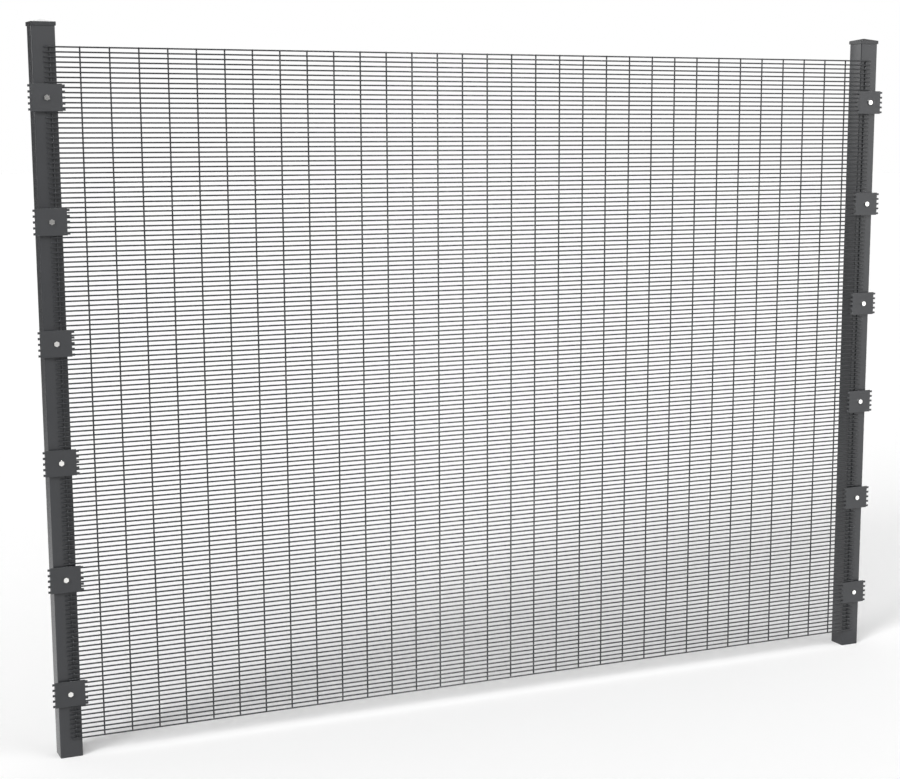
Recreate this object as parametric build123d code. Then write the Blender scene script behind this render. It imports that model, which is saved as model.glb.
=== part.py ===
"""Welded mesh security fence panel held between two box posts by bolted comb clamps.

Sizes are in millimetres. The panel runs along X, its front faces -Y and +Z is up. The origin is on
the ground, in the middle of the box round the whole panel.
"""

import os
from math import radians, tan

from build123d import *

# Welded mesh: close-set line wires run across, in front of widely spaced uprights
wire = 4.0  # width and depth of a wire
line_count = 145
line_pitch = 12.7
upright_count = 34
upright_pitch = 76.2
line_overrun = 15.0  # past the centres of the outer uprights
upright_overrun = 2.5  # past the centres of the top and bottom line wires
ground_gap = 51.0  # under the lowest line wire

# Posts: square hollow section, cut square at both ends
post_width = 60.0
post_depth = 60.0
post_wall = 2.0
post_corner = 3.0  # outside radius
least_corner = 0.5  # radius inside a post whose wall is as thick as its corner
post_margin = 13.7  # from the centre of the outer upright to the middle of the post
post_rise = 58.8  # above the centre of the top line wire, under the cap

# Comb clamps: flat plates with a row of short teeth along both sides
clamp_count = 6  # on each post
clamp_margin = 127.0  # from the lowest and top line wires to the nearest bolts
clamp_width = 80.0  # without the teeth
clamp_height = 70.0
clamp_thickness = 3.0
tooth_count = 5  # on each side
tooth_pitch = 15.0
tooth_width = 6.0
tooth_length = 7.0

# Hexagon bolts through the clamps
bolt_shank = 8.0
bolt_length = 25.0  # under the head
head_flats = 13.0
head_height = 5.3

# Rivet nuts with a hexagonal body, set in hexagonal holes in the posts
nut_flats = 11.0
nut_length = 16.0
lip_flats = 14.0
lip_thickness = 1.0
bulge_flats = 14.5  # where the set nut grips the wall from behind
bulge_length = 4.0

# Post caps: a skirt over the post, a pyramid roof and a finned plug in the bore
cap_wall = 2.0  # sides and roof
cap_rim = 10.0  # height of the upright sides
cap_skirt = 6.0  # part of the rim that covers the post
roof_slope = 12.6  # degrees
roof_peak = 3.0  # width of the small flat at the top of the roof
plug_length = 24.0
plug_wall = 2.0
fin_count = 3
fin_pitch = 7.0
fin_thickness = 1.5
fin_reach = 1.8  # how far the fins stand out of the plug

# Clearances
clamp_seat = 0.1  # between the clamps and the line wires
head_seat = 0.1  # between the bolt heads and the clamps
bolt_hole_gap = 0.5  # all round the shank in the clamp
thread_gap = 0.05  # all round the shank in the rivet nut
line_gap = 1.0  # all round the shank among the line wires
nut_hole_gap = 0.1  # all round the rivet nut in the post
skirt_gap = 0.2  # all round the post in the cap
fin_gap = 0.2  # all round the fins in the post

# What follows from the sizes above
lowest_line = ground_gap + wire / 2
top_line = lowest_line + (line_count - 1) * line_pitch
half_width = (upright_count - 1) * upright_pitch / 2
post_x = half_width + post_margin
bore_corner = max(post_corner - post_wall, least_corner)
post_top = top_line + post_rise
clamp_pitch = (top_line - lowest_line - 2 * clamp_margin) / (clamp_count - 1)
bolt_heights = [lowest_line + clamp_margin + i * clamp_pitch for i in range(clamp_count)]

# Layers from the front of the bolt heads to the back of the caps, centred on Y = 0
front_depth = 2 * wire + clamp_seat + clamp_thickness + head_seat + head_height
back_depth = post_depth + skirt_gap + cap_wall
post_face = (front_depth - back_depth) / 2
upright_y = post_face - wire / 2
line_y = upright_y - wire
clamp_back = line_y - wire / 2 - clamp_seat
clamp_front = clamp_back - clamp_thickness
head_back = clamp_front - head_seat
post_y = post_face + post_depth / 2


def hexagon(flats):
    """Hexagon with corners at the top and bottom, in a plane that faces the front."""
    return RegularPolygon(flats / 2, 6, major_radius=False, rotation=30)


def facing_front(x, y, z):
    """Plane at a point, with its normal towards the front."""
    return Plane(origin=(x, y, z), x_dir=(1, 0, 0), z_dir=(0, -1, 0))


def post_outline(offset):
    """Rectangle as far outside the post as the offset says, or inside it where that is negative."""
    return Rectangle(post_width + 2 * offset, post_depth + 2 * offset)


def wire_section():
    """Six-sided section of an upright wire, with flats to the front and back for the wires that cross it."""
    half, flat = wire / 2, wire / 4
    corners = [(half, 0), (flat, half), (-flat, half), (-half, 0), (-flat, -half), (flat, -half)]
    return Polygon(*corners, align=None)


def make_line_wires():
    """Level wires over the uprights; those that would meet a bolt are cut short, behind its clamp."""
    reach = bolt_shank / 2 + line_gap
    full = half_width + line_overrun
    short = min(full, post_x - reach)
    section = Plane.YZ * Rot(Z=90) * wire_section()
    lines = []
    for i in range(line_count):
        z = lowest_line + i * line_pitch
        meets_bolt = any(abs(z - height) < reach + wire / 2 for height in bolt_heights)
        lines.append(Pos(0, line_y, z) * extrude(section, short if meets_bolt else full, both=True))
    return lines


def make_upright_wires():
    """Upright wires behind the line wires, the outer two against the posts."""
    length = top_line - lowest_line + 2 * upright_overrun
    upright = extrude(wire_section(), length)
    foot = lowest_line - upright_overrun
    return [Pos(i * upright_pitch - half_width, upright_y, foot) * upright for i in range(upright_count)]


def make_post(x):
    """Hollow post with a row of hexagonal holes in its front wall."""
    outside = RectangleRounded(post_width, post_depth, post_corner)
    bore = RectangleRounded(post_width - 2 * post_wall, post_depth - 2 * post_wall, bore_corner)
    post = Pos(x, post_y, 0) * extrude(outside - bore, post_top)
    hole = hexagon(nut_flats + 2 * nut_hole_gap)
    for z in bolt_heights:
        post -= extrude(facing_front(x, post_face, z) * hole, -2 * post_wall)
    return post


def make_rivet_nut(x, z):
    """Threaded insert that grips the front wall of the post between its lip and its bulge."""
    front, back = facing_front(x, post_face, z), facing_front(x, post_face + post_wall, z)
    lip = extrude(front * hexagon(lip_flats), lip_thickness)
    body = extrude(front * hexagon(nut_flats), lip_thickness - nut_length)
    bulge = extrude(back * hexagon(bulge_flats), -bulge_length)
    bore = extrude(front * Circle(bolt_shank / 2 + thread_gap), nut_length, both=True)
    return lip + body + bulge - bore


def make_clamp(x, z):
    """Comb plate: each tooth is the end of a bar that crosses the plate."""
    plate = Rectangle(clamp_width, clamp_height)
    bar = Rectangle(clamp_width + 2 * tooth_length, tooth_width)
    teeth = GridLocations(0, tooth_pitch, 1, tooth_count) * bar
    outline = plate + teeth - Circle(bolt_shank / 2 + bolt_hole_gap)
    return extrude(facing_front(x, clamp_back, z) * outline, clamp_thickness)


def make_bolt(x, z):
    """Hexagon bolt, without its thread."""
    head = extrude(facing_front(x, head_back, z) * hexagon(head_flats), head_height)
    shank = extrude(facing_front(x, head_back, z) * Circle(bolt_shank / 2), -bolt_length)
    return head + shank


def make_roof(offset, z):
    """Pyramid on the post's outline at an offset, up to its small flat top."""
    reach = min(post_width, post_depth) / 2 + offset - roof_peak / 2
    rise = reach * tan(radians(roof_slope))
    return Pos(0, 0, z) * extrude(post_outline(offset), rise, taper=90 - roof_slope)


def make_cap(x):
    """Pyramid cap with a skirt outside the post and a finned plug inside it."""
    rim_foot = post_top - cap_skirt
    rim_top = rim_foot + cap_rim
    plug_foot = post_top - plug_length
    hollow_top = rim_top - cap_wall
    rim_offset = skirt_gap + cap_wall
    fin_offset = -post_wall - fin_gap
    plug_offset = fin_offset - fin_reach
    hollow_offset = plug_offset - plug_wall
    shell = Pos(0, 0, rim_foot) * extrude(post_outline(rim_offset), cap_rim) + make_roof(rim_offset, rim_top)
    shell -= Pos(0, 0, rim_foot) * extrude(post_outline(skirt_gap), cap_skirt)
    shell += Pos(0, 0, plug_foot) * extrude(post_outline(plug_offset), plug_length)
    fin = extrude(post_outline(fin_offset), fin_thickness)
    fin = chamfer(fin.edges().filter_by(Axis.Z), bore_corner)
    for i in range(fin_count):
        shell += Pos(0, 0, plug_foot + i * fin_pitch) * fin
    shell -= Pos(0, 0, plug_foot) * extrude(post_outline(hollow_offset), hollow_top - plug_foot)
    shell -= make_roof(hollow_offset, hollow_top)
    return Pos(x, post_y, 0) * shell


def write(node, solids):
    """Write one node's file."""
    export_step(Compound(children=solids), os.path.join("parts", node + ".step"))


os.makedirs("parts", exist_ok=True)
write("mesh_line_wires", make_line_wires())
write("mesh_upright_wires", make_upright_wires())
for side, x in (("left", -post_x), ("right", post_x)):
    write(side + "_post", [make_post(x)])
    write(side + "_post_cap", [make_cap(x)])
    write(side + "_rivet_nuts", [make_rivet_nut(x, z) for z in bolt_heights])
    for number, z in enumerate(bolt_heights, start=1):
        write(f"{side}_clamp_{number}", [make_clamp(x, z)])
        write(f"{side}_bolt_{number}", [make_bolt(x, z)])
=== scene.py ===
"""Looks of a welded mesh fence panel: wires, welds, posts, caps, comb clamps, bolts and a studio."""

from math import atan2, cos, pi, radians, sin, tan

import bmesh
import bpy
from bpy.props import FloatProperty, FloatVectorProperty, IntProperty, PointerProperty
from mathutils import Euler, Matrix, Vector


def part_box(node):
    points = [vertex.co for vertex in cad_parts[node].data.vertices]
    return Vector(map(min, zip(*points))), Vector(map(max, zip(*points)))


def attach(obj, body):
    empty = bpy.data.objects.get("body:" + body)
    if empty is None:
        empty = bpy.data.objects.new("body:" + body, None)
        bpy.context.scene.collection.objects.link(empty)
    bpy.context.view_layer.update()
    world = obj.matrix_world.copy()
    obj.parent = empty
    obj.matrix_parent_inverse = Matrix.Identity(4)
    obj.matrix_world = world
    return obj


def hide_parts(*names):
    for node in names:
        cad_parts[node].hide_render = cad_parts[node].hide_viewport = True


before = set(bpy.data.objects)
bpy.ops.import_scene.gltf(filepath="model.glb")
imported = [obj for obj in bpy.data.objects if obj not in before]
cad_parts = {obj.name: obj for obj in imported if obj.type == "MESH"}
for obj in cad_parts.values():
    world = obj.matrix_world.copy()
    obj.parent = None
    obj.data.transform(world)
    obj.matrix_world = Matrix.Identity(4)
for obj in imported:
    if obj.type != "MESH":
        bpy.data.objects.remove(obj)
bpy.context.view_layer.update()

bl_info = {
    "name": "Welded mesh fence panel",
    "version": (1, 0, 0),
    "blender": (4, 5, 0),
    "location": "3D View > Sidebar > Fence panel",
    "description": "Dresses a fence panel's solids with round wires, welds, threaded bolts and finishes",
    "category": "Object",
}

MM = 0.001
SIDES = ("left", "right")
CLAMPS_PER_POST = range(1, 7)
SHARP_ANGLE = radians(35)
FLAT_ANGLE = radians(1)
MERGE_DISTANCE = 0.002 * MM
EDGE_SEGMENTS = 3
WIRE_END_SEGMENTS = 2

# Coats: how far tone and gloss drift, how much the peel shows, and the resin's index of refraction
TONE_DRIFT = 0.08
GLOSS_DRIFT = 0.03
PEEL_STRENGTH = 0.35
COAT_IOR = 1.4

# Bare metal: the share by which its gloss drifts, and how much its marks show
MARK_DRIFT = 0.3
MARK_STRENGTH = 0.15
MARK_DEPTH = 0.02 * MM

# A Mix node's sockets for colours, by number, because sockets for other values have the same names
MIX_DARK, MIX_LIGHT, MIX_RESULT = 6, 7, 2


def linear(code):
    """Linear colour of an sRGB hex value."""
    parts = [int(code[i : i + 2], 16) / 255 for i in (1, 3, 5)]
    return tuple(p / 12.92 if p <= 0.04045 else ((p + 0.055) / 1.055) ** 2.4 for p in parts)


def length(name, description, millimetres):
    """A size that a user may change, in metres."""
    return FloatProperty(
        name=name, description=description, default=millimetres * MM, unit="LENGTH", precision=5
    )


def colour(name, description, code):
    """A colour that a user may change."""
    return FloatVectorProperty(
        name=name, description=description, default=linear(code), subtype="COLOR", size=3
    )


class FenceSizes(bpy.types.PropertyGroup):
    """Sizes that the solids leave open."""

    line_count: IntProperty(name="Line wires", description="Level wires in the mesh", default=145)
    upright_count: IntProperty(name="Uprights", description="Upright wires in the mesh", default=34)
    wire_facets: IntProperty(name="Wire facets", description="Sides of each round wire", default=16)
    wire_coat: length("Wire coat", "Thickness of the zinc and powder coat on a wire", 0.09)
    wire_end: length("Wire end", "Rounding of the cut end of a wire", 0.4)
    weld_width: length("Weld width", "Width of the squeezed metal where two wires cross", 5.4)
    weld_depth: length("Weld depth", "Depth of the squeezed metal where two wires cross", 2.6)
    clamp_edge: length("Clamp edge", "Rounding of the coated edges of a clamp", 0.45)
    cap_edge: length("Cap edge", "Rounding of the moulded edges of a cap", 0.6)
    head_height: length("Head height", "Height of a bolt head", 5.3)
    thread_pitch: length("Thread pitch", "Rise of one turn of the bolt thread", 1.25)
    thread_depth: length("Thread depth", "Depth of the bolt thread", 0.65)


class FenceColours(bpy.types.PropertyGroup):
    """Colours of the finishes."""

    post_coat: colour("Post coat", "Powder coat of the posts", "#333436")
    clamp_coat: colour("Clamp coat", "Powder coat of the clamps", "#313234")
    mesh_coat: colour("Mesh coat", "Powder coat of the wires", "#2a2b2d")
    cap_plastic: colour("Cap plastic", "Moulded plastic of the caps", "#28292b")
    bolt_steel: colour("Bolt steel", "Bright stainless steel of the bolts", "#eeedea")
    nut_zinc: colour("Nut zinc", "Zinc plating of the rivet nuts", "#b9bab6")
    floor: colour("Floor", "Pale studio floor", "#f4f4f4")


# Materials


def add(tree, kind, sockets=None, **settings):
    """Add a node with its settings; a socket takes a value, or the output that links to it."""
    node = tree.nodes.new(kind)
    for name, value in settings.items():
        setattr(node, name, value)
    for name, value in (sockets or {}).items():
        if isinstance(value, bpy.types.NodeSocket):
            tree.links.new(value, node.inputs[name])
        else:
            node.inputs[name].default_value = value
    return node


def new_material(name):
    """An empty node material and its node tree."""
    material = bpy.data.materials.new(name)
    material.use_nodes = True
    material.node_tree.nodes.clear()
    return material, material.node_tree


def shaded(tint, share):
    """A colour made lighter or darker by a share, as a socket takes it."""
    return (*(part * share for part in tint), 1.0)


def coated(name, tint, roughness, peel_mm, peel_height_mm, drift_mm):
    """Coat or plastic skin: tone and gloss drift slowly, and a fine peel breaks up the highlights."""
    material, tree = new_material(name)
    place = add(tree, "ShaderNodeTexCoord").outputs["Object"]
    drift = add(
        tree, "ShaderNodeTexNoise", {"Vector": place, "Scale": 1 / (drift_mm * MM), "Detail": 3.0}
    )
    tone = add(
        tree,
        "ShaderNodeMix",
        {
            "Factor": drift.outputs["Fac"],
            MIX_DARK: shaded(tint, 1 - TONE_DRIFT),
            MIX_LIGHT: shaded(tint, 1 + TONE_DRIFT),
        },
        data_type="RGBA",
    )
    gloss = add(
        tree,
        "ShaderNodeMapRange",
        {
            "Value": drift.outputs["Fac"],
            "To Min": roughness - GLOSS_DRIFT,
            "To Max": roughness + GLOSS_DRIFT,
        },
    )
    peel = add(
        tree, "ShaderNodeTexNoise", {"Vector": place, "Scale": 1 / (peel_mm * MM), "Detail": 2.0}
    )
    bump = add(
        tree,
        "ShaderNodeBump",
        {
            "Height": peel.outputs["Fac"],
            "Strength": PEEL_STRENGTH,
            "Distance": peel_height_mm * MM,
        },
    )
    surface = add(
        tree,
        "ShaderNodeBsdfPrincipled",
        {
            "Base Color": tone.outputs[MIX_RESULT],
            "Roughness": gloss.outputs["Result"],
            "IOR": COAT_IOR,
            "Normal": bump.outputs["Normal"],
        },
    )
    add(tree, "ShaderNodeOutputMaterial", {"Surface": surface.outputs["BSDF"]})
    return material


def bare_metal(name, tint, roughness, scratch_mm):
    """Bright metal: short rolling and handling marks vary its gloss."""
    material, tree = new_material(name)
    place = add(tree, "ShaderNodeTexCoord").outputs["Object"]
    marks = add(
        tree, "ShaderNodeTexNoise", {"Vector": place, "Scale": 1 / (scratch_mm * MM), "Detail": 4.0}
    )
    gloss = add(
        tree,
        "ShaderNodeMapRange",
        {
            "Value": marks.outputs["Fac"],
            "To Min": roughness * (1 - MARK_DRIFT),
            "To Max": roughness * (1 + MARK_DRIFT),
        },
    )
    bump = add(
        tree,
        "ShaderNodeBump",
        {"Height": marks.outputs["Fac"], "Strength": MARK_STRENGTH, "Distance": MARK_DEPTH},
    )
    surface = add(
        tree,
        "ShaderNodeBsdfPrincipled",
        {
            "Base Color": (*tint, 1.0),
            "Metallic": 1.0,
            "Roughness": gloss.outputs["Result"],
            "Normal": bump.outputs["Normal"],
        },
    )
    add(tree, "ShaderNodeOutputMaterial", {"Surface": surface.outputs["BSDF"]})
    return material


# Meshes


def new_piece(name, bm, material, body, slot, *nodes, crease=SHARP_ANGLE):
    """Turn a bmesh into a piece that rides on a body, takes a finish and stands for its solids."""
    mesh = bpy.data.meshes.new(name)
    bm.to_mesh(mesh)
    bm.free()
    mesh.shade_smooth()
    mesh.set_sharp_from_angle(angle=crease)
    piece = bpy.data.objects.new(name, mesh)
    bpy.context.scene.collection.objects.link(piece)
    piece.data.materials.append(material)
    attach(piece, body)
    if nodes:
        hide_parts(*nodes)
    return piece


def joined_copy(node):
    """A solid's mesh with its loose triangles joined into whole faces."""
    bm = bmesh.new()
    bm.from_mesh(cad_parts[node].data)
    bmesh.ops.remove_doubles(bm, verts=bm.verts, dist=MERGE_DISTANCE)
    bmesh.ops.dissolve_limit(bm, angle_limit=FLAT_ANGLE, verts=bm.verts, edges=bm.edges)
    return bm


def round_edges(piece, radius):
    """Round a piece's sharp edges."""
    bevel = piece.modifiers.new("rounded_edges", "BEVEL")
    bevel.width = radius
    bevel.segments = EDGE_SEGMENTS
    bevel.limit_method = "ANGLE"
    bevel.angle_limit = SHARP_ANGLE
    bevel.harden_normals = True


def add_wire(bm, start, end, radius, facets):
    """Add one straight round wire between two points."""
    along = end - start
    place = Matrix.Translation((start + end) / 2) @ along.to_track_quat("Z", "Y").to_matrix().to_4x4()
    bmesh.ops.create_cone(
        bm,
        cap_ends=True,
        segments=facets,
        radius1=radius,
        radius2=radius,
        depth=along.length,
        matrix=place,
    )


def round_wire_ends(bm, radius):
    """Round the rims of the cut ends, which are the only faces of many sides."""
    rims = {edge for face in bm.faces if len(face.verts) > 4 for edge in face.edges}
    bmesh.ops.bevel(
        bm,
        geom=list(rims),
        offset=radius,
        segments=WIRE_END_SEGMENTS,
        profile=0.5,
        affect="EDGES",
        material=-1,
        clamp_overlap=True,
    )


def spread(low, high, radius, count):
    """Centres of evenly spaced wires whose outsides run from low to high."""
    step = (high - low - 2 * radius) / (count - 1)
    return [low + radius + i * step for i in range(count)]


def line_heights(sizes):
    """Heights of the line wires."""
    low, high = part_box("mesh_line_wires")
    return spread(low.z, high.z, (high.y - low.y) / 2, sizes.line_count)


def upright_places(sizes):
    """Places of the uprights along the panel."""
    low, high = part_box("mesh_upright_wires")
    return spread(low.x, high.x, (high.y - low.y) / 2, sizes.upright_count)


class FENCE_OT_line_wires(bpy.types.Operator):
    """Make the close-set level wires"""

    bl_idname = "fence.line_wires"
    bl_label = "Line wires"

    def execute(self, context):
        sizes, colours = context.scene.fence_sizes, context.scene.fence_colours
        low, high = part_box("mesh_line_wires")
        y, radius = (low.y + high.y) / 2, (high.y - low.y) / 2
        coated_radius = radius + sizes.wire_coat
        points = [vert.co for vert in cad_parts["mesh_line_wires"].data.vertices]
        bm = bmesh.new()
        for z in line_heights(sizes):
            # The wires beside a bolt are cut short of it
            reach = max(point.x for point in points if abs(point.z - z) < radius)
            add_wire(bm, Vector((-reach, y, z)), Vector((reach, y, z)), coated_radius, sizes.wire_facets)
        round_wire_ends(bm, sizes.wire_end)
        # Powder coat over galvanised wire: it gathers unevenly on thin round wire, so it shines a little
        # less than on flat steel
        coat = coated(
            "mesh_powder_coat",
            colours.mesh_coat,
            roughness=0.3,
            peel_mm=2.0,
            peel_height_mm=0.03,
            drift_mm=90,
        )
        new_piece("line_wires_round", bm, coat, "panel", "mesh_coating", "mesh_line_wires")
        return {"FINISHED"}


class FENCE_OT_upright_wires(bpy.types.Operator):
    """Make the upright wires and the welds where they cross the line wires"""

    bl_idname = "fence.upright_wires"
    bl_label = "Uprights and welds"

    WELD_SUBDIVISIONS = 1

    def execute(self, context):
        sizes = context.scene.fence_sizes
        coat = bpy.data.materials["mesh_powder_coat"]
        low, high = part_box("mesh_upright_wires")
        y, radius = (low.y + high.y) / 2, (high.y - low.y) / 2
        coated_radius = radius + sizes.wire_coat
        bm = bmesh.new()
        for x in upright_places(sizes):
            add_wire(bm, Vector((x, y, low.z)), Vector((x, y, high.z)), coated_radius, sizes.wire_facets)
        round_wire_ends(bm, sizes.wire_end)
        new_piece("upright_wires_round", bm, coat, "panel", "mesh_coating", "mesh_upright_wires")
        self.make_welds(sizes, coat, low.y)
        return {"FINISHED"}

    def make_welds(self, sizes, coat, meeting_y):
        """One flattened bead at the lowest left crossing, repeated along both kinds of wire."""
        columns, rows = upright_places(sizes), line_heights(sizes)
        size = Matrix.Diagonal((sizes.weld_width / 2, sizes.weld_depth / 2, sizes.weld_width / 2, 1))
        bm = bmesh.new()
        place = Matrix.Translation((columns[0], meeting_y, rows[0])) @ size
        bmesh.ops.create_icosphere(bm, subdivisions=self.WELD_SUBDIVISIONS, radius=1, matrix=place)
        welds = new_piece("mesh_welds", bm, coat, "panel", "mesh_coating")
        for name, count, step in (
            ("along_the_line", len(columns), (columns[1] - columns[0], 0, 0)),
            ("up_the_upright", len(rows), (0, 0, rows[1] - rows[0])),
        ):
            repeat = welds.modifiers.new(name, "ARRAY")
            repeat.count = count
            repeat.use_relative_offset = False
            repeat.use_constant_offset = True
            repeat.constant_offset_displace = step


class FENCE_OT_posts(bpy.types.Operator):
    """Make the two coated box posts"""

    bl_idname = "fence.posts"
    bl_label = "Posts"

    def execute(self, context):
        # Satin polyester powder coat on cold-rolled tube: soft broad highlights with a faint orange peel
        coat = coated(
            "post_powder_coat",
            context.scene.fence_colours.post_coat,
            roughness=0.26,
            peel_mm=3.0,
            peel_height_mm=0.05,
            drift_mm=140,
        )
        for side in SIDES:
            node = side + "_post"
            new_piece(side + "_post_tube", joined_copy(node), coat, "panel", "post_coating", node)
        return {"FINISHED"}


class FENCE_OT_caps(bpy.types.Operator):
    """Make the two moulded post caps"""

    bl_idname = "fence.caps"
    bl_label = "Caps"

    ROOF_CREASE = radians(8)

    def execute(self, context):
        sizes, colours = context.scene.fence_sizes, context.scene.fence_colours
        # Moulded polyethylene with a fine spark-eroded skin: darker than the coat, with much the same soft
        # shine
        plastic = coated(
            "cap_moulded_polyethylene",
            colours.cap_plastic,
            roughness=0.28,
            peel_mm=1.2,
            peel_height_mm=0.03,
            drift_mm=60,
        )
        for side in SIDES:
            node = side + "_post_cap"
            cap = new_piece(
                side + "_cap_moulded",
                joined_copy(node),
                plastic,
                side + "_cap",
                "cap_plastic",
                node,
                crease=self.ROOF_CREASE,
            )
            round_edges(cap, sizes.cap_edge)
        return {"FINISHED"}


class FENCE_OT_clamps(bpy.types.Operator):
    """Make the comb clamps"""

    bl_idname = "fence.clamps"
    bl_label = "Comb clamps"

    def execute(self, context):
        sizes, colours = context.scene.fence_sizes, context.scene.fence_colours
        # The posts' powder coat on cut plate: it draws back from the cut edges and rounds them
        coat = coated(
            "clamp_powder_coat",
            colours.clamp_coat,
            roughness=0.34,
            peel_mm=2.5,
            peel_height_mm=0.05,
            drift_mm=45,
        )
        for side in SIDES:
            for number in CLAMPS_PER_POST:
                node = f"{side}_clamp_{number}"
                clamp = new_piece(node + "_plate", joined_copy(node), coat, node, "clamp_coating", node)
                round_edges(clamp, sizes.clamp_edge)
        return {"FINISHED"}


class FENCE_OT_bolts(bpy.types.Operator):
    """Make the hexagon bolts with chamfered heads and cut threads"""

    bl_idname = "fence.bolts"
    bl_label = "Bolts"

    HEAD_FACETS = 72
    HEAD_CREASE = radians(20)
    HEX_SECTOR = pi / 3
    CHAMFER_SLOPE = tan(radians(30))
    # Where the chamfer starts, as a share of half the width across flats
    CHAMFER_SHARE = 1.07
    SHANK_RADIUS = 4.0 * MM
    # Play between the thread's crest and the shank's full size
    CREST_GAP = 0.08 * MM
    TIP_CHAMFER = 0.2 * MM
    THREAD_STEPS = 24
    # Turns that are spun past the shank's ends and cut off again
    SPARE_TURNS = 3

    def execute(self, context):
        sizes, colours = context.scene.fence_sizes, context.scene.fence_colours
        # Cold-headed stainless steel, tumbled bright: nearly a mirror, softened by fine handling marks
        steel = bare_metal("bolt_stainless_steel", colours.bolt_steel, roughness=0.09, scratch_mm=1.5)
        for side in SIDES:
            for number in CLAMPS_PER_POST:
                node = f"{side}_bolt_{number}"
                bolt = self.make_bolt(node, sizes)
                new_piece(
                    node + "_threaded", bolt, steel, node, "bolt_steel", node, crease=self.HEAD_CREASE
                )
        return {"FINISHED"}

    def make_bolt(self, node, sizes):
        """Bolt along Z with its bearing face at 0, then set in place with its head to the front."""
        low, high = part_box(node)
        flats = high.x - low.x
        shank_length = high.y - low.y - sizes.head_height
        bm = bmesh.new()
        self.add_thread(bm, sizes, shank_length)
        self.add_head(bm, flats, sizes.head_height)
        bmesh.ops.recalc_face_normals(bm, faces=bm.faces)
        place = Vector(((low.x + high.x) / 2, low.y + sizes.head_height, (low.z + high.z) / 2))
        head_to_front = Matrix.Rotation(pi / 2, 4, "X")
        bmesh.ops.transform(bm, matrix=Matrix.Translation(place) @ head_to_front, verts=bm.verts)
        return bm

    def add_thread(self, bm, sizes, shank_length):
        """A zigzag of root and crest, spun once round as it climbs a pitch, then cut flat at both ends."""
        pitch, radius = sizes.thread_pitch, self.SHANK_RADIUS - self.CREST_GAP
        root = radius - sizes.thread_depth
        turns = int(shank_length / pitch) + self.SPARE_TURNS
        profile = [
            bm.verts.new((root if i % 2 else radius, 0, -shank_length - pitch + i * pitch / 2))
            for i in range(2 * turns)
        ]
        edges = [bm.edges.new(pair) for pair in zip(profile, profile[1:])]
        bmesh.ops.spin(
            bm,
            geom=profile + edges,
            axis=(0, 0, 1),
            cent=(0, 0, 0),
            dvec=(0, 0, pitch / self.THREAD_STEPS),
            angle=2 * pi,
            steps=self.THREAD_STEPS,
            use_merge=False,
        )
        bmesh.ops.remove_doubles(bm, verts=bm.verts, dist=MERGE_DISTANCE)
        for height, side in ((-shank_length, -1), (pitch / 2, 1)):
            bmesh.ops.bisect_plane(
                bm,
                geom=[*bm.verts, *bm.edges, *bm.faces],
                plane_co=(0, 0, height),
                plane_no=(0, 0, side),
                clear_outer=True,
            )
        bmesh.ops.holes_fill(bm, edges=[edge for edge in bm.edges if edge.is_boundary])
        # The tip is chamfered down to the root, so that the bolt finds its nut
        for vert in bm.verts:
            reach = Vector(vert.co.xy).length
            limit = root - self.TIP_CHAMFER + vert.co.z + shank_length
            if reach > limit > 0:
                vert.co.xy *= limit / reach

    def add_head(self, bm, flats, height):
        """Rings of the head: its bearing face, the foot of the chamfer and the flat top.

        Away from the corners there is no chamfer, and the last two rings meet.
        """
        chamfer, slope = flats / 2 * self.CHAMFER_SHARE, self.CHAMFER_SLOPE
        half_sector = self.HEX_SECTOR / 2
        ring = bmesh.ops.create_circle(bm, cap_ends=True, segments=self.HEAD_FACETS, radius=1)["verts"]
        edges = list({edge for vert in ring for edge in vert.link_edges})
        for vert in ring:
            angle = atan2(vert.co.y, vert.co.x)
            reach = flats / 2 / cos((angle + half_sector) % self.HEX_SECTOR - half_sector)
            vert.co = (reach * cos(angle), reach * sin(angle), 0)
        edges = self.rise(bm, edges, lambda reach: (reach, height - max(0, reach - chamfer) * slope))
        edges = self.rise(bm, edges, lambda reach: (min(reach, chamfer), height))
        bmesh.ops.contextual_create(bm, geom=edges)
        bmesh.ops.remove_doubles(bm, verts=bm.verts, dist=MERGE_DISTANCE)

    def rise(self, bm, edges, shape):
        """Extrude a ring of edges; the shape gives a corner's new reach and height from its old reach."""
        new = bmesh.ops.extrude_edge_only(bm, edges=edges)["geom"]
        for vert in new:
            if isinstance(vert, bmesh.types.BMVert):
                old = Vector(vert.co.xy).length
                reach, height = shape(old)
                vert.co = (vert.co.x * reach / old, vert.co.y * reach / old, height)
        return [edge for edge in new if isinstance(edge, bmesh.types.BMEdge)]


class FENCE_OT_rivet_nuts(bpy.types.Operator):
    """Give the rivet nuts their plating"""

    bl_idname = "fence.rivet_nuts"
    bl_label = "Rivet nuts"

    def execute(self, context):
        # Bright zinc on steel: a pale grey metal with a cloudy gloss
        plating = context.scene.fence_colours.nut_zinc
        zinc = bare_metal("rivet_nut_zinc_plate", plating, roughness=0.34, scratch_mm=2.0)
        for side in SIDES:
            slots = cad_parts[side + "_rivet_nuts"].data.materials
            slots.clear()
            slots.append(zinc)
        return {"FINISHED"}


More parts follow.
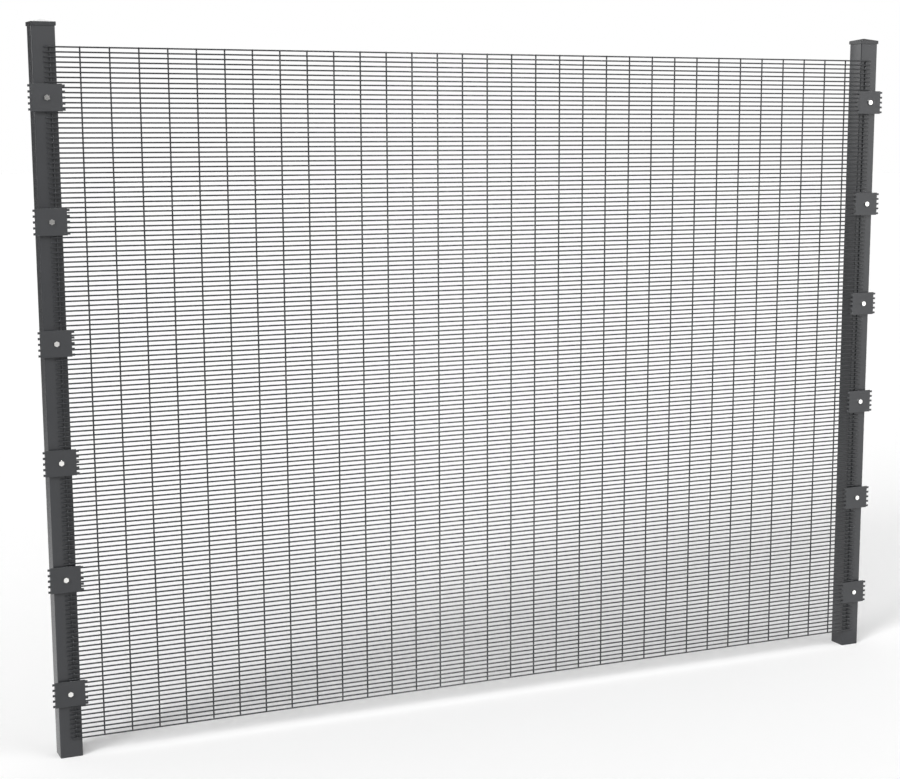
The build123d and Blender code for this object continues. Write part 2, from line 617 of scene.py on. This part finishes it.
class FENCE_OT_studio(bpy.types.Operator):
    """Set up the floor, the light and the camera"""

    bl_idname = "fence.studio"
    bl_label = "Studio"

    FLOOR_RADIUS = 60.0
    FLOOR_SEGMENTS = 96
    FLOOR_GLOW = 0.1
    AMBIENT = 0.46
    # Strength, then turn from the front, height and width in degrees
    LAMPS = {
        "key": (1.2, -32, 33, 40),
        "left_fill": (2.0, -60, 24, 18),
        "right_fill": (0.7, 45, 22, 45),
    }
    CARD_STEPS = 12
    # In metres: how far off the standing cards are, how high the lying ones are, of which the near ones are
    # just over the others, and where across the panel the middle of a card's arc may be
    WALL = 30
    LOW, JUST_OVER = 0.01, 0.012
    LEFT_POST, CENTRE, RIGHT_POST = -1.27, 0, 1.27
    # Brightness along one edge of a card and along the other, the turns from the front in degrees between
    # which it stands, how far off and how high each edge is, and the middle of its arc
    CARDS = {
        "dark_gap_in_front": (0.22, 0.22, -6, 22, (WALL, 0), (WALL, 3.2), CENTRE),
        "white_card_in_front": (2.4, 2.4, -12, 22, (WALL, 3.3), (WALL, 12), CENTRE),
        "fading_floor_in_front": (1.06, 0.4, -20, 22, (4.5, LOW), (14, LOW), CENTRE),
        "dim_floor_in_front": (0.4, 0.36, -20, 22, (14, LOW), (WALL, LOW), CENTRE),
        "high_card_front_right": (60.0, 60.0, 22, 32, (WALL, 18), (WALL, 36), CENTRE),
        "white_card_right": (2.9, 2.9, 29, 58, (WALL, 0), (WALL, 16), CENTRE),
        "bright_floor_right": (1.7, 2.4, 29, 58, (2, LOW), (WALL, LOW), CENTRE),
        "near_floor_right": (1.55, 1.65, 20, 60, (0.15, JUST_OVER), (2.5, JUST_OVER), RIGHT_POST),
        "dim_wall_back_right": (0.25, 0.25, 115, 154, (WALL, 0), (WALL, 8), CENTRE),
        "dark_wall_back_right": (0.04, 0.04, 115, 154, (WALL, 8), (WALL, 17), CENTRE),
        "dark_wall_behind": (0.02, 0.02, 154, 209, (WALL, 0), (WALL, 8), CENTRE),
        "white_card_behind": (3.2, 3.2, 152, 180, (WALL, 9.5), (WALL, 22), CENTRE),
        "white_card_back_left": (5.2, 5.2, 213, 250, (WALL, 2.3), (WALL, 16), CENTRE),
        "fading_floor_behind": (0.8, 0.35, 182, 198, (0.3, LOW), (3.5, LOW), LEFT_POST),
        "dim_floor_behind": (0.35, 0.08, 180, 198, (3.5, LOW), (8, LOW), LEFT_POST),
        "dark_floor_behind": (0.08, 0.02, 120, 202, (8, LOW), (29, LOW), LEFT_POST),
        "dim_floor_back_left": (0.85, 0.42, 198, 250, (3.5, LOW), (8, LOW), LEFT_POST),
        "far_floor_back_left": (0.35, 0.35, 202, 250, (8, LOW), (29, LOW), LEFT_POST),
        "near_floor_back_left": (1.1, 0.7, 200, 232, (0.1, JUST_OVER), (2.5, JUST_OVER), RIGHT_POST),
        "dim_wall_left": (0.2, 0.2, 250, 342, (WALL, 0), (WALL, 12), CENTRE),
        "dim_floor_left": (0.5, 0.25, 250, 342, (3.5, LOW), (29, LOW), LEFT_POST),
    }
    CAMERA_PLACE = (-2.16646, -4.69467, 1.68785)
    CAMERA_TURN = (80.640, 0.0, -24.697)
    CAMERA_LENS = 71.496
    CAMERA_SENSOR = 36.0
    CAMERA_SHIFT = (-0.04819, 0.03263)
    CAMERA_REACH = 500.0

    def execute(self, context):
        scene = context.scene
        scene.view_settings.view_transform = "Standard"
        self.make_world(scene)
        self.make_floor(scene)
        for name, lamp in self.LAMPS.items():
            self.make_lamp(scene, name, *lamp)
        for name, card in self.CARDS.items():
            self.make_card(scene, name, *card)
        self.make_camera(scene)
        return {"FINISHED"}

    def seen(self, tree):
        """1 for what the camera sees straight on, in a reflection or through glass, and otherwise 0."""
        path = add(tree, "ShaderNodeLightPath")
        mirrored = add(
            tree,
            "ShaderNodeMath",
            {0: path.outputs["Is Glossy Ray"], 1: path.outputs["Is Transmission Ray"]},
            operation="ADD",
        )
        return add(
            tree,
            "ShaderNodeMath",
            {0: path.outputs["Is Camera Ray"], 1: mirrored.outputs[0]},
            operation="ADD",
            use_clamp=True,
        ).outputs[0]

    def make_world(self, scene):
        """A white backdrop that lights the set at a plain level."""
        world = bpy.data.worlds.new("studio")
        world.use_nodes = True
        tree = world.node_tree
        tree.nodes.clear()
        strength = add(
            tree, "ShaderNodeMapRange", {"Value": self.seen(tree), "To Min": self.AMBIENT, "To Max": 1.0}
        )
        backdrop = add(
            tree, "ShaderNodeBackground", {"Color": (1, 1, 1, 1), "Strength": strength.outputs["Result"]}
        )
        add(tree, "ShaderNodeOutputWorld", {"Surface": backdrop.outputs["Background"]})
        scene.world = world

    def make_floor(self, scene):
        """A pale floor whose glow, seen only by the eye, makes it white where nothing shades it."""
        material, tree = new_material("studio_floor_paper")
        paper = add(tree, "ShaderNodeBsdfDiffuse", {"Color": (*scene.fence_colours.floor, 1.0)})
        glow = add(tree, "ShaderNodeMath", {0: self.seen(tree), 1: self.FLOOR_GLOW}, operation="MULTIPLY")
        light = add(tree, "ShaderNodeEmission", {"Strength": glow.outputs[0]})
        both = add(tree, "ShaderNodeAddShader", {0: paper.outputs["BSDF"], 1: light.outputs["Emission"]})
        add(tree, "ShaderNodeOutputMaterial", {"Surface": both.outputs["Shader"]})
        bm = bmesh.new()
        bmesh.ops.create_circle(bm, cap_ends=True, segments=self.FLOOR_SEGMENTS, radius=self.FLOOR_RADIUS)
        self.new_stage_piece(scene, "studio_floor", bm, material)

    def new_stage_piece(self, scene, name, bm, material):
        """Turn a bmesh into a piece of the set."""
        mesh = bpy.data.meshes.new(name)
        bm.to_mesh(mesh)
        bm.free()
        mesh.materials.append(material)
        piece = bpy.data.objects.new(name, mesh)
        scene.collection.objects.link(piece)
        return piece

    def make_lamp(self, scene, name, strength, turn, height, width):
        """A broad soft lamp, far off; the gloss of the pieces shows the cards instead."""
        light = bpy.data.lights.new(name, "SUN")
        light.energy = strength
        light.angle = radians(width)
        lamp = bpy.data.objects.new(name, light)
        lamp.rotation_euler = Euler((pi / 2 - radians(height), 0, radians(turn)))
        lamp.visible_glossy = False
        scene.collection.objects.link(lamp)

    def make_card(
        self, scene, name, brightness, far_brightness, turn_from, turn_to, edge, far_edge, middle
    ):
        """A white or dark card round the set, which shows only in the gloss of the pieces."""
        material, tree = new_material(name)
        place = add(tree, "ShaderNodeTexCoord").outputs["Object"]
        away = add(tree, "ShaderNodeVectorMath", {0: place}, operation="LENGTH")
        fade = add(
            tree,
            "ShaderNodeMapRange",
            {
                "Value": away.outputs["Value"],
                "From Min": Vector(edge).length,
                "From Max": Vector(far_edge).length,
                "To Min": brightness,
                "To Max": far_brightness,
            },
        )
        light = add(tree, "ShaderNodeEmission", {"Strength": fade.outputs["Result"]})
        add(tree, "ShaderNodeOutputMaterial", {"Surface": light.outputs["Emission"]})
        bm = bmesh.new()
        turn = Matrix.Rotation(radians(turn_from), 4, "Z")
        side = [
            bm.verts.new(turn @ Vector((0, -distance, height))) for distance, height in (edge, far_edge)
        ]
        bmesh.ops.spin(
            bm,
            geom=[*side, bm.edges.new(side)],
            axis=(0, 0, 1),
            cent=(0, 0, 0),
            angle=radians(turn_to - turn_from),
            steps=self.CARD_STEPS,
            use_merge=False,
        )
        card = self.new_stage_piece(scene, name, bm, material)
        card.location.x = middle
        card.visible_camera = False
        card.visible_diffuse = False
        card.visible_transmission = False
        card.visible_shadow = False

    def make_camera(self, scene):
        """The photograph's viewpoint."""
        data = bpy.data.cameras.new("camera")
        data.lens = self.CAMERA_LENS
        data.sensor_width = self.CAMERA_SENSOR
        data.sensor_fit = "HORIZONTAL"
        data.shift_x, data.shift_y = self.CAMERA_SHIFT
        data.clip_end = self.CAMERA_REACH
        camera = bpy.data.objects.new("camera", data)
        camera.location = self.CAMERA_PLACE
        camera.rotation_euler = Euler([radians(turn) for turn in self.CAMERA_TURN])
        scene.collection.objects.link(camera)
        scene.camera = camera


PIECES = (
    FENCE_OT_line_wires,
    FENCE_OT_upright_wires,
    FENCE_OT_posts,
    FENCE_OT_caps,
    FENCE_OT_clamps,
    FENCE_OT_bolts,
    FENCE_OT_rivet_nuts,
    FENCE_OT_studio,
)


class FENCE_PT_panel(bpy.types.Panel):
    """Sizes, colours and steps of the fence panel"""

    bl_idname = "FENCE_PT_panel"
    bl_label = "Fence panel"
    bl_space_type = "VIEW_3D"
    bl_region_type = "UI"
    bl_category = "Fence panel"

    def draw(self, context):
        for settings in (context.scene.fence_sizes, context.scene.fence_colours):
            for name in settings.__annotations__:
                self.layout.prop(settings, name)
        for piece in PIECES:
            self.layout.operator(piece.bl_idname)


CLASSES = (FenceSizes, FenceColours, *PIECES, FENCE_PT_panel)


def register():
    for each in CLASSES:
        bpy.utils.register_class(each)
    bpy.types.Scene.fence_sizes = PointerProperty(type=FenceSizes)
    bpy.types.Scene.fence_colours = PointerProperty(type=FenceColours)


def unregister():
    del bpy.types.Scene.fence_colours
    del bpy.types.Scene.fence_sizes
    for each in reversed(CLASSES):
        bpy.utils.unregister_class(each)


def main():
    register()
    bpy.ops.fence.line_wires()
    bpy.ops.fence.upright_wires()
    bpy.ops.fence.posts()
    bpy.ops.fence.caps()
    bpy.ops.fence.clamps()
    bpy.ops.fence.bolts()
    bpy.ops.fence.rivet_nuts()
    bpy.ops.fence.studio()


if __name__ == "__main__":
    main()
